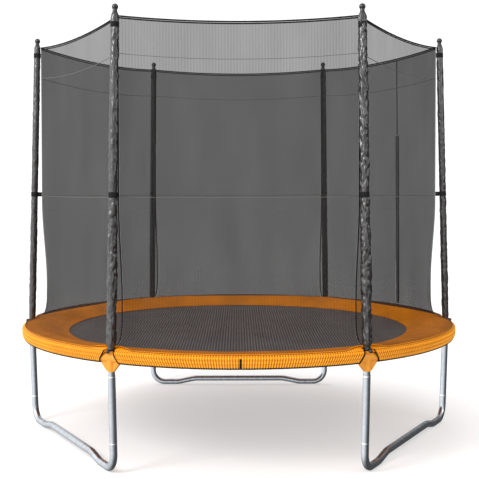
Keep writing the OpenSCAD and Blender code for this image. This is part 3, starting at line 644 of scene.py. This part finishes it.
def make_net(k):
    cols = 150
    s_of = [-1 + 2 * i / cols for i in range(cols + 1)]
    b = Build()
    b.grid([[turn(net_point(k, s, share), (k - 0.5) * SECTOR) for s in s_of] for share in NET_SHARES])
    if k == 1:  # the door panel is slit behind its zip
        b.f = [f for f in b.f if not behind_zip(sum((Vector(b.v[i]) for i in f), Vector()) / len(f))]
    o = piece(f"net_{k}", b.v, b.f, NET, replaces=[f"net_panel_{k}"])
    o.visible_shadow = o.visible_diffuse = False  # light passes the fine mesh almost undimmed
    uv = o.data.uv_layers.new(name="net")
    for loop in o.data.loops:
        j, i = divmod(loop.vertex_index, cols + 1)
        share = NET_SHARES[j]
        up = o.data.vertices[loop.vertex_index].co.z if share >= FLARE else 0.66 - (FLARE - share) * 1.4
        uv.data[loop.index].uv = (s_of[i] * 0.56, up)


ZIP_S = -0.39
ZIP_A = Vector(hung(ZIP_S, waist_at(ZIP_S) - 14))
ZIP_B = Vector(hung(ZIP_S, 1665))
ZIP_L = (ZIP_B - ZIP_A).length
ZIP_WAY = (ZIP_B - ZIP_A).normalized()
ZIP_M = (Matrix.Rotation(math.radians(HALF), 4, "Z") @ Matrix.Translation(ZIP_A)
         @ Matrix.Rotation(math.atan2(ZIP_WAY.x, ZIP_WAY.z), 4, "Y") @ Matrix.Rotation(-math.asin(ZIP_WAY.y), 4, "X"))
ZIP_BACK = ZIP_M.inverted()
SLIT_HALF = 7


def in_zip(p):
    return tuple(ZIP_M @ Vector(p))


def behind_zip(p):
    q = ZIP_BACK @ p
    return abs(q[1]) < SLIT_HALF and 0 < q[2] < ZIP_L


ROPE_R, ROPE_LIFT = 4.0, 4.8
rope = Build()
line = []
for k in CORNERS:
    for i in range(24):
        s = -1 + 2 * i / 24
        r = corner_r(NET_TOP)
        line.append(turn((r * cos(HALF), s * r * sin(HALF), top_at(s) + ROPE_LIFT), (k - 0.5) * SECTOR))
rope.tube(line, ROPE_R, 10, closed=True)
piece("net_rope", rope.v, rope.f, WEB, replaces=["net_top_rope"])

for k in CORNERS:
    make_net(k)


def hem_point(k, s, drop):
    x, y, z = hung(s, top_at(s) - drop)
    return turn((x + 1.2, y, z), (k - 0.5) * SECTOR)


def seam_point(k, s, z, off):
    share = FLARE + (1 - FLARE) * (z - waist_at(s)) / (top_at(s) - waist_at(s))
    x, y, z = net_point(k, s, share)
    return turn((x + off, y, z), (k - 0.5) * SECTOR)


# the folded hem under the rope, and thin light seams across the panels on both of their sides
hems, seams = Build(), Build()
seam_s = [-0.995 + 1.99 * i / 120 for i in range(121)]
for k in CORNERS:
    hems.grid([[hem_point(k, -1 + 2 * i / 60, drop) for i in range(61)] for drop in (1, 8)])
    for seam_z in (lambda s: top_at(s) - 172, lambda s: 1297.0 + 3 * s * s):
        for off in (1.4, -1.4):
            seams.grid([[seam_point(k, s, seam_z(s) + up, off) for s in seam_s] for up in (-1.1, 1.1)])
piece("net_hem_fold", hems.v, hems.f, WEB)
piece("net_seams", seams.v, seams.f, SEAM)

# tape that binds two panels at each corner
TAPE_SECTION = [(-4.2, 0), (-3.6, 0.7), (0, 1.0), (3.6, 0.7), (4.2, 0), (3.6, -0.7), (0, -1.0), (-3.6, -0.7)]
curve = []
for share in NET_SHARES:
    x, y, z = on_panel(1, share)
    curve.append((math.hypot(x, y) + EDGE_GAP * sin(HALF), z))
bind = Build()
for k in CORNERS:
    rows = []
    for j, (r, z) in enumerate(curve):
        r0, z0 = curve[max(j - 1, 0)]
        r1, z1 = curve[min(j + 1, len(curve) - 1)]
        span = math.hypot(r1 - r0, z1 - z0)
        nx, nz = (z1 - z0) / span, -(r1 - r0) / span
        rows.append([turn((r + h * nx, y, z + h * nz), (k - 1) * SECTOR) for y, h in TAPE_SECTION])
    bind.grid(rows, wrap_v=True)
piece("net_corner_tapes", bind.v, bind.f, WEB, replaces=["net_bindings"])

cord = Build()
for k in CORNERS:
    cord.tube([turn(foot_at(0.995 * sin(-90 + 3 * i), CORD_LIFT), (k - 0.5) * SECTOR) for i in range(61)], 2.5, 8)
piece("net_hem_elastic", cord.v, cord.f, HEM_CORD, replaces=["net_hem_cord"])

# straps that tie the net to the poles, elastic ties with a ball at the sleeves' feet
straps, ties, balls = Build(), Build(), Build()
for k in CORNERS:
    for z in (STRAP_Z, TOP_STRAP_Z):
        share = (z - SLEEVE_FOOT) / (SLEEVE_TOP - SLEEVE_FOOT)
        r = sleeve_r(k, share) + 0.4
        band = [(0, 0.5), (1.1, 0), (1.6, 1.5), (1.9, 6), (1.6, 13), (1.9, 20), (1.6, 24.5), (1.1, 26), (0, 25.5)]
        z0 = up_pole(z) - STRAP_H / 2
        straps.grid([[on_pole(k, p) for p in circle(r + q, z0 + h, 30)] for q, h in band], wrap_u=True, wrap_v=True)
        reach = corner_gap(z) - 1.5 - 0.8
        rows = []
        for i in range(9):
            x = mix(r + 0.8, reach, i / 8)
            sag = 0.8 * sin(180 * i / 8)
            rows.append([on_pole(k, (-x, y + sag * 0.4, z0 + h)) for y, h in
                         ((-0.9, 0.6), (0.9, 0.6), (1.05, 13), (0.9, 25.4), (-0.9, 25.4), (-1.05, 13))])
        base = len(straps.v)
        straps.grid(rows, wrap_v=True)
        straps.f.append(tuple(base + j for j in range(6)))
        straps.f.append(tuple(base + 48 + j for j in reversed(range(6))))
    z0 = up_pole(SLEEVE_FOOT) + 5
    loop = [on_pole(k, ((TIE_R + 2.9 + 0.3 * sin(a * 15)) * cos(a * 7.5), (TIE_R + 2.9) * sin(a * 7.5),
                        z0 + 0.9 * sin(a * 15))) for a in range(48)]
    ties.tube(loop, 2.4, 8, closed=True)
    start = len(balls.v)
    balls.ball(9.0, 24, 16)
    balls.move(start, lambda p, k=k: on_pole(k, (TIE_R + 9.4 + p[0], p[1], z0 - 6 + p[2])))
piece("net_tie_straps", straps.v, straps.f, WEB, replaces=["net_straps"])
piece("elastic_ties", ties.v, ties.f, WEB, replaces=["sleeve_ties"])
piece("tie_balls", balls.v, balls.f, BALL)

# ---------------------------------------------------------------- zip
TAPE_W, PITCH, TOOTH_H = 15, 3.2, 1.9
tape, teeth = Build(), Build()
for side in (1, -1):
    rows = []
    for i in range(81):
        w = TAPE_W + 0.25 * sin(i * 40)
        section = ((2.05, 0.9), (2.05, w - 0.4), (2.5, w), (2.95, w - 0.4), (2.95, 0.9))
        rows.append([in_zip((x, side * y, ZIP_L * i / 80)) for x, y in section])
    tape.grid(rows, wrap_v=True, flip=side < 0)

    def across(y0, y1):
        return min(side * y0, side * y1), max(side * y0, side * y1)

    low, high = across(0.65, 2.9)
    for i in range(int((ZIP_L - 12) / PITCH)):
        z = 6 + i * PITCH + (PITCH / 2 if side < 0 else 0)
        teeth.box((1.05, low, z), (3.95, high, z + TOOTH_H), in_zip)
    low, high = across(0.65, 6.4)
    for z in (0, ZIP_L - 5):  # the stops
        teeth.box((0.1, low, z), (4.9, high, z + 5), in_zip)
piece("zip_tapes", tape.v, tape.f, ZIP_TAPE, replaces=["zip_tape"])
piece("zip_teeth_rows", teeth.v, teeth.f, ZIP_TEETH, shade=False)
seam = Build()
rows = []
for i in range(41):
    x0, y0, z = hung(ZIP_S, mix(1668, top_at(ZIP_S) - 3, i / 40))
    rows.append([turn((x0 + x, y0 + y, z), HALF) for x, y in ((1.2, -3.5), (3.2, -3), (3.2, 3), (1.2, 3.5))])
seam.grid(rows, wrap_v=True)
piece("door_seam", seam.v, seam.f, WEB)


# ---------------------------------------------------------------- pad
NOTCH_FROM = 1172  # the pad's notches round the poles begin at this radius


def pad_in(angle):
    """Inner radius of the pad and how far its overlapped stretch stands proud."""
    a = (angle + 180) % 360 - 180
    over = smooth((a + 57.9) / 0.5) * smooth((8.6 - a) / 0.5)
    return PAD_IN - 9 * over, 3.0 * over


def pad_ripple(r, angle):
    x, y = r * cos(angle), r * sin(angle)
    soft = 2.4 * hills(x, y, 0, 130) + 1.0 * hills(x, y, 50, 42)
    return soft * smooth((r - 955) / 40) * smooth((1222 - r) / 30)


def notch_gap(r):
    """Half of the angle that a notch takes at a radius."""
    if r < RING_R - NOTCH_R + 1:
        return 0
    w = NOTCH_R + 0.4
    if r < RING_R:
        w = math.sqrt(max(w ** 2 - (RING_R - r) ** 2, 0))
    return math.degrees(math.asin(w / r))


def make_pad():
    b = Build()
    top_r = [963, 966, 972, 982, 996, 1012, 1030, 1050, 1072, 1094, 1116, 1136, 1154, 1166, 1172, 1178, 1185, 1191,
             1197, 1203, 1208, 1212, 1215, 1217.5, 1218.8]
    under_r = [r for r in reversed(top_r) if r >= NOTCH_FROM] + [1164, 1130, 1090, 1046, 1010, 980, 966]
    cols = 120
    n, nt = cols + 1, len(top_r)
    for k in CORNERS:
        rows = []
        for r, top in [(r, True) for r in top_r] + [(r, False) for r in under_r]:
            gap = notch_gap(r)
            row = []
            for j in range(n):
                a = (k - 1) * SECTOR + gap + (SECTOR - 2 * gap) * j / cols
                rin, proud = pad_in(a)
                q = r if r > PAD_FLAT else mix(rin, PAD_FLAT, (r - PAD_IN) / (PAD_FLAT - PAD_IN))
                if top:
                    z = lookup(r, PAD_TOP) + pad_ripple(r, a)
                    if r <= PAD_IN:
                        z -= 1.6
                    z += proud * smooth((1150 - r) / 150)
                else:
                    z = lookup(r, PAD_UNDER) + 0.05
                row.append((q * cos(a), q * sin(a), z))
            rows.append(row)
        base = len(b.v)
        b.grid(rows, wrap_u=True)
        for i, r in enumerate(top_r[:-1]):  # the notch's walls
            if r < NOTCH_FROM:
                continue
            top_row, under_row = base + i * n, base + (nt + nt - 1 - i) * n
            for j, flip in ((0, False), (cols, True)):
                q = (top_row + j, top_row + n + j, under_row - n + j, under_row + j)
                b.f.append(tuple(reversed(q)) if flip else q)
    o = piece("pad", b.v, b.f, PAD, replaces=["safety_pad"])
    bm = bmesh.new()
    bm.from_mesh(o.data)
    bmesh.ops.remove_doubles(bm, verts=bm.verts, dist=0.0002)
    bmesh.ops.recalc_face_normals(bm, faces=bm.faces)
    bm.to_mesh(o.data)
    bm.free()


make_pad()

# skirt: gathered cloth from the pad's shoulder to its elastic hem, open at each pole in an arch
ARCH_TOP, ARCH_FOOT = 30.0, 54.0
SKIRT_Z = [(0, 592.0), (0.12, 588.5), (0.3, 579.0), (1, 529.5)]
SKIRT_R = [(0, 1196.0), (0.12, 1206.5), (0.22, 1213.5), (0.3, 1219.5), (0.5, 1220.5), (0.75, 1219.5), (0.9, 1215.0),
           (1, 1208.0)]
SHIRRING = (0.2, 0.45, 0.7)
LEVELS, GATHERS = 20, 96
GATHER_D, PINCH = 1.7, 0.75
HEM_R, HEM_Z, HEM_WIRE = 1208.4, 529.4, 3.2


def arch_half(z):
    """Half of the arch's width at a height: the cloth curves out round the connector."""
    return mix(ARCH_TOP, ARCH_FOOT, smooth((590 - z) / 60) ** 1.4)


def arch_edge(k, t, side):
    """A point of the black binding up an arch, at the start (side -1) or the end of skirt k."""
    z = lookup(t, SKIRT_Z)
    a = math.degrees(arch_half(z) / PAD_R)
    a = (k - 1) * SECTOR + (a if side < 0 else SECTOR - a)
    r = lookup(t, SKIRT_R) + 0.4
    return (r * cos(a), r * sin(a), z)


skirt, hem, fold_shade_of = Build(), Build(), []
for k in CORNERS:
    rows = []
    cols = GATHERS * 6
    for i in range(LEVELS + 1):
        t = i / LEVELS
        z = lookup(t, SKIRT_Z)
        gap = math.degrees(arch_half(z) / PAD_R)
        pinch = 1 - PINCH * max(math.exp(-((t - at) / 0.035) ** 2) for at in SHIRRING)
        depth = GATHER_D * pinch * smooth(t / 0.15)
        row = []
        for j in range(cols + 1):
            u = j / cols
            a = (k - 1) * SECTOR + gap + (SECTOR - 2 * gap) * u
            wave = sin(360 * GATHERS * u + 40 * hills(u * 40, t * 3, k, 1.0))
            r = lookup(t, SKIRT_R) + depth * (wave - 1) + 0.6 * hills(u * 30, t * 2, k * 7, 1.0) * smooth(t / 0.2)
            # painted shade: the fold value is low in a gather's valley and on a shirring row, and high on its crest
            fold_shade_of.append((0.5 + 0.5 * wave) * mix(0.25, 1, (pinch - (1 - PINCH)) / PINCH))
            row.append((r * cos(a), r * sin(a), z + (0.8 * wave if i == LEVELS else 0)))
        rows.append(row)
    skirt.grid(rows, flip=True)
    # black elastic binding along the hem and up both arches
    path = [arch_edge(k, i / 14, -1) for i in range(2, 15)]
    gap = math.degrees(ARCH_FOOT / PAD_R)
    for i in range(1, 160):
        a = (k - 1) * SECTOR + gap + (SECTOR - 2 * gap) * i / 160
        path.append((HEM_R * cos(a), HEM_R * sin(a), HEM_Z + 0.5 * hills(i / 5, k, 0, 1)))
    path += [arch_edge(k, i / 14, 1) for i in range(14, 1, -1)]
    hem.tube(path, HEM_WIRE, 8)
skirt_o = piece("pad_skirt", skirt.v, skirt.f, SKIRT)
# the fold values carry the skirt's painted shade and lighter crests into its material
skirt_o.data.attributes.new("fold", "FLOAT", "POINT").data.foreach_set("value", fold_shade_of)
piece("skirt_elastic", hem.v, hem.f, WEB)
SEAM_SECTION = ((1220.8, -89.95), (1222.3, -89.85), (1222.3, -89.6), (1220.8, -89.5))
b = Build()
b.grid([[(r * cos(a), r * sin(a), z) for r, a in SEAM_SECTION] for z in (577, 565, 550, 535, 530)], wrap_v=True)
piece("skirt_seam", b.v, b.f, WEB)

# straps that hold the pad to the ring tube, each with a buckle
LOOP_SECTION = [(19.5, -9.5), (20.0, -10), (20.5, -9), (20.5, 9), (20.0, 10), (19.5, 9.5)]
b = Build()
for k in CORNERS:
    for a in (0.25, 0.75):
        ang = (k - 1 + a) * SECTOR
        start = len(b.v)
        b.grid([[(x, h, z) for x, z, _ in circle(r, 0, 24)] for r, h in LOOP_SECTION], wrap_u=True, wrap_v=True)
        b.box((-5.5, -9.8, 20), (5.5, 9.8, 23.6))
        b.move(start, lambda p, ang=ang: turn((RING_R + p[0], p[1], RAIL_Z + p[2]), ang))
piece("pad_elastics", b.v, b.f, WEB, replaces=["pad_straps"])

# ---------------------------------------------------------------- mat
MAT_SIDES = 240
MAT_RINGS = [0.01, 120, 260, 400, 520, 640, 750, 850, 920, 941, 944.3, 945.5, 946.7, 950, 975, 984.4, 985.5, 986.6, 996,
             999, MAT_R]
DIPS = {944.3: 0.25, 945.5: 0.8, 946.7: 0.25, 984.4: 0.25, 985.5: 0.8, 986.6: 0.25, MAT_R: 0.8}  # two seams, the edge
b = Build()
rows = [circle(r, MAT_TOP - 0.05 - DIPS.get(r, 0), MAT_SIDES) for r in MAT_RINGS]
rows += [circle(r, MAT_TOP - MAT_T + (0.4 if r == MAT_R else 0), MAT_SIDES) for r in (MAT_R, 990, 960, 0.01)]
b.grid(rows, wrap_v=True, flip=True)
mat_o = piece("mat_sheet", b.v, b.f, MAT_CLOTH, body="mat", replaces=["jump_mat"])

# the webbing under the mat's edge, with a loop for each wire ring
BAND = [(955, 538.7), (955.6, 538.4), (999, 538.4), (999.8, 538.9), (999.8, 541.2), (999, 541.5), (955.6, 541.5),
        (955, 541.2)]
LOOP_WAY = [(994, 538.0), (1000, 537.6), *((1005 + 3.0 * cos(a), 540.1 + 3.0 * sin(a)) for a in range(-100, 101, 25)),
            (1000, 541.4), (994, 541.4)]
LOOP_WEB = ((-11.5, 0.0), (-11.2, 0.5), (11.2, 0.5), (11.5, 0.0), (11.2, -0.5), (-11.2, -0.5))
b = Build()
b.grid([circle(r, z + 0.05, MAT_SIDES) for r, z in BAND], wrap_u=True, wrap_v=True)
for i in range(SPRINGS):
    ang = (i + 0.5) * SPRING_STEP
    b.grid([[turn((x, y, z + dz), ang) for y, dz in LOOP_WEB] for x, z in LOOP_WAY], wrap_v=True)
piece("mat_band", b.v, b.f, WEB, body="mat", replaces=["mat_webbing"])

# ---------------------------------------------------------------- springs
HOOK_IN, HOOK_OUT = (1039.0, 540.1), (1175.91, 559.778)
HOOK_R, COIL_R, WIRE_R = 8.0, 7.4, 1.55
COILS, COIL_STEPS = 30, 14
SPRING_L = math.hypot(HOOK_OUT[0] - HOOK_IN[0], HOOK_OUT[1] - HOOK_IN[1])
RISE = math.degrees(math.atan2(HOOK_OUT[1] - HOOK_IN[1], HOOK_OUT[0] - HOOK_IN[0]))


def make_spring(i):
    """A wound coil with an open hook at each end, stretched between the ring and the mat."""
    b = Build()
    line = [(HOOK_R * cos(a), 0, -HOOK_R + HOOK_R * sin(a)) for a in range(280, 89, -15)]
    start, end = HOOK_R + 4.0, SPRING_L - HOOK_R - 4.0
    for j in range(COILS * COIL_STEPS + 1):
        t = j / (COILS * COIL_STEPS)
        a = 90 + 360 * j / COIL_STEPS
        grow = COIL_R * min(smooth(t * COILS / 1.6), smooth((1 - t) * COILS / 1.6))
        line.append((mix(start, end, t), grow * cos(a), grow * sin(a)))
    line += [(SPRING_L + HOOK_R * cos(a), 0, -HOOK_R + HOOK_R * sin(a)) for a in range(90, -41, -15)]
    b.tube(line, WIRE_R, 6, up=(0.01, 1, 0.02))
    s, c = sin(RISE), cos(RISE)
    x0, z0 = HOOK_IN[0] - HOOK_R * s, HOOK_IN[1] + HOOK_R * c
    ang = (i + 0.5) * SPRING_STEP
    b.move(0, lambda p: turn((x0 + p[0] * c - p[2] * s, p[1], z0 + p[0] * s + p[2] * c), ang))
    o = piece(f"spring_{i + 1}", b.v, b.f, ZINC, body=None)
    a, e = turn((1160, 0, 550), ang), turn((1052, 0, 550), ang)
    tuple(q / 1000 for q in a)
    tuple(q / 1000 for q in e)
    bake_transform(o)
    return o


springs = [make_spring(i) for i in range(SPRINGS)]
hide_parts("springs")
